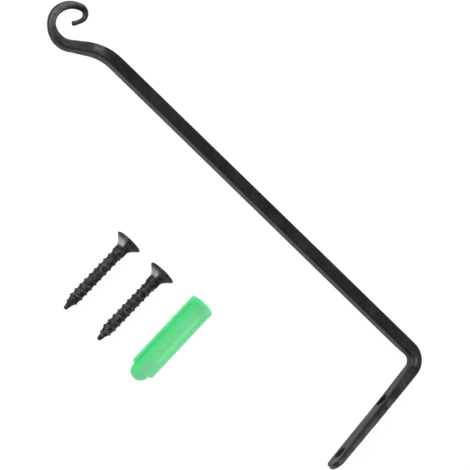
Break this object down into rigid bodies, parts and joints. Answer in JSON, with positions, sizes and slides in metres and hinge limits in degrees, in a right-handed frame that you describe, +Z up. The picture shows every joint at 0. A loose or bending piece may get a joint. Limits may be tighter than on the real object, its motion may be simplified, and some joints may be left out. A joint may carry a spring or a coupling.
{
  "type": "wall plant hanger",
  "caption": "Forged square-bar bracket with a scroll hook for a hanging plant and a flattened wall foot, laid out with its wood screws and a plastic wall plug.",
  "frame": {"origin": "centre of the kit's bounding box, on the table that the four pieces lie on", "axes": "+X leaves the wall face along the arm towards the scroll, +Y runs along the foot from the bend to its round end, +Z up from the table"},
  "size_m": [0.2602, 0.1148, 0.0142],
  "materials": {
    "black_paint": "satin black paint on forged steel, with soft hammer marks",
    "black_oxide": "blackened steel, slightly shiny on the head's cone",
    "green_plastic": "translucent green moulded plastic"
  },
  "bodies": {
    "hanger": {"forged_hanger": "black_paint"},
    "screw_1": {"wood_screw_1": "black_oxide"},
    "screw_2": {"wood_screw_2": "black_oxide"},
    "plug": {"wall_plug": "green_plastic"}
  },
  "joints": [
    {"name": "screw_1_lift", "type": "slide", "parent": "hanger", "child": "screw_1", "axis": [0, 0, 1], "range_m": [0, 0.06]},
    {"name": "screw_2_lift", "type": "slide", "parent": "hanger", "child": "screw_2", "axis": [0, 0, 1], "range_m": [0, 0.06]},
    {"name": "plug_lift", "type": "slide", "parent": "hanger", "child": "plug", "axis": [0, 0, 1], "range_m": [0, 0.06]}
  ]
}
